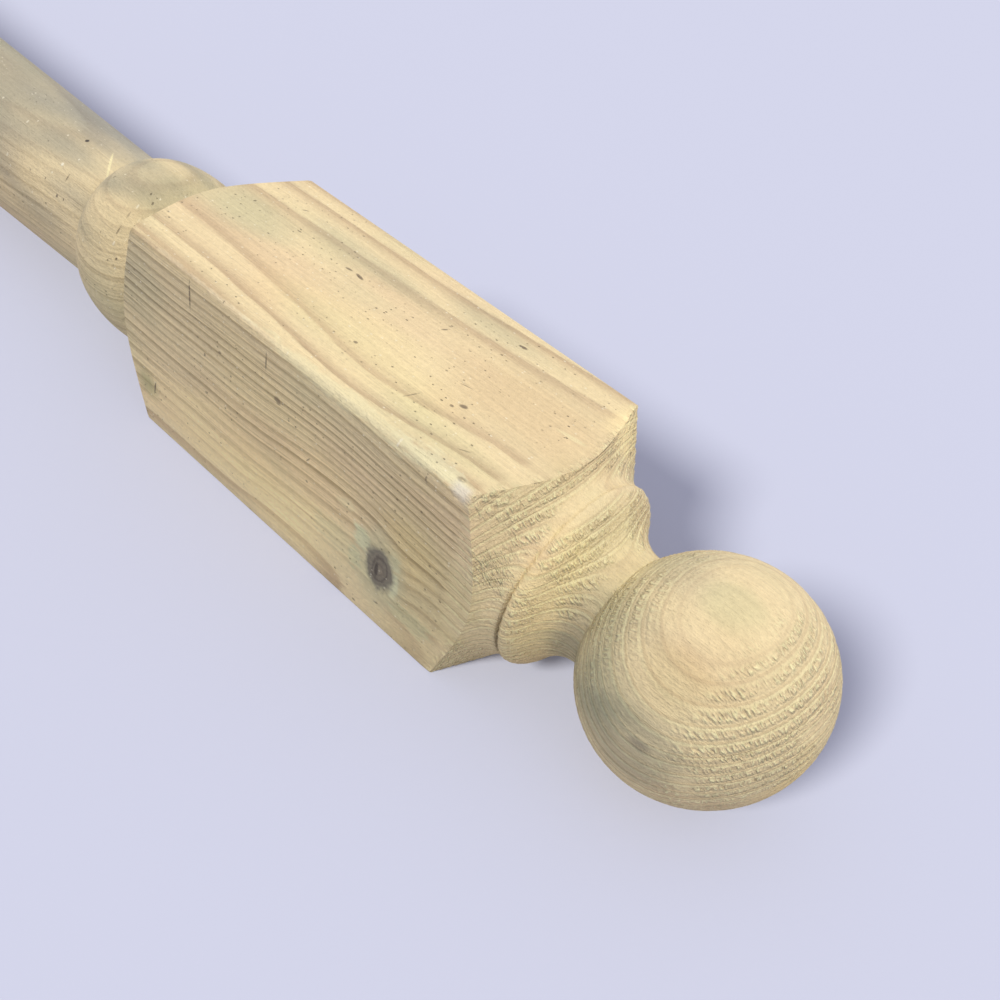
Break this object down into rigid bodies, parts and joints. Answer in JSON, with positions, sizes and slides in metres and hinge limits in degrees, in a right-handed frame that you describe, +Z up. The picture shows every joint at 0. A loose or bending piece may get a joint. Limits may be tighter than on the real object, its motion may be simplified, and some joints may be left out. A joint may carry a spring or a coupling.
{
  "type": "newel post",
  "caption": "Turned timber newel post with a ball top, square blocks for rail and base, and a tapered round shaft between beads.",
  "frame": {"origin": "centre of the foot's flat end face", "axes": "+X along the post's axis from the foot to the ball, +Z up as the post lies on one side of its square blocks, +Y across"},
  "size_m": [1.275, 0.082, 0.082],
  "materials": {
    "treated_pine": "bare planed and turned treated pine, matt"
  },
  "bodies": {
    "root": {"newel_post": "treated_pine"}
  },
  "joints": []
}
